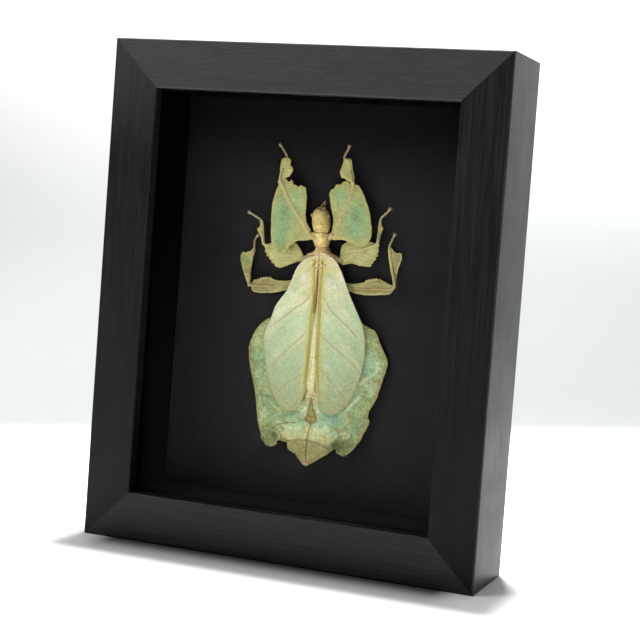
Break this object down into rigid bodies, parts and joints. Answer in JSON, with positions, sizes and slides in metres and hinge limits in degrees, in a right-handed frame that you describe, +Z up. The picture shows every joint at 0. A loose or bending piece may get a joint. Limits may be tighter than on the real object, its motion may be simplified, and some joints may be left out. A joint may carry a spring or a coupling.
{
  "type": "leaf insect specimen in a shadow box frame",
  "caption": "Dried leaf insect with broad veined wings and leaf-like legs on a dark board, behind glass in a flat black wooden shadow box.",
  "frame": {"origin": "centre of the frame's bottom face, where it stands", "axes": "+Z up along the insect's body towards its head, -Y out through the glass, +X to the right seen from the front"},
  "size_m": [0.126, 0.03, 0.154],
  "materials": {
    "black_frame": "black-stained wood, satin, fine straight grain",
    "black_spacer": "flat black paint",
    "clear_glass": "clear picture glass",
    "dark_board": "warm black board, faint mottle",
    "back_panel": "bare brown fibreboard",
    "head_skin": "dry yellow-beige cuticle, granular",
    "eye": "dull glossy eye",
    "antenna": "brown cuticle",
    "thorax_skin": "dry pinkish-beige cuticle",
    "wing": "leathery pale green, pinkish veins, ochre mid veins",
    "abdomen": "leaf green with teal and olive patches",
    "front_leg": "sea green with ochre margins",
    "middle_leg": "yellow green",
    "hind_leg": "olive",
    "tarsus": "beige cuticle"
  },
  "bodies": {
    "root": {"frame_bottom": "black_frame", "frame_top": "black_frame", "frame_left": "black_frame", "frame_right": "black_frame", "spacer_bottom": "black_spacer", "spacer_top": "black_spacer", "spacer_left": "black_spacer", "spacer_right": "black_spacer", "glass_pane": "clear_glass", "backing_board": "dark_board", "back_panel": "back_panel", "head": "head_skin", "eye_left": "eye", "eye_right": "eye", "antenna_left": "antenna", "antenna_right": "antenna", "pronotum": "head_skin", "mesothorax": "thorax_skin", "metathorax": "thorax_skin", "forewing_left": "wing", "forewing_right": "wing", "abdomen": "abdomen", "abdomen_tip": "abdomen", "femur_front_left": "front_leg", "tibia_front_left": "front_leg", "tarsus_front_left": "tarsus", "femur_front_right": "front_leg", "tibia_front_right": "front_leg", "tarsus_front_right": "tarsus", "femur_middle_left": "middle_leg", "tibia_middle_left": "middle_leg", "tarsus_middle_left": "tarsus", "femur_middle_right": "middle_leg", "tibia_middle_right": "middle_leg", "tarsus_middle_right": "tarsus", "femur_hind_left": "hind_leg", "tibia_hind_left": "hind_leg", "tarsus_hind_left": "tarsus", "femur_hind_right": "hind_leg", "tibia_hind_right": "hind_leg", "tarsus_hind_right": "tarsus"}
  },
  "joints": []
}
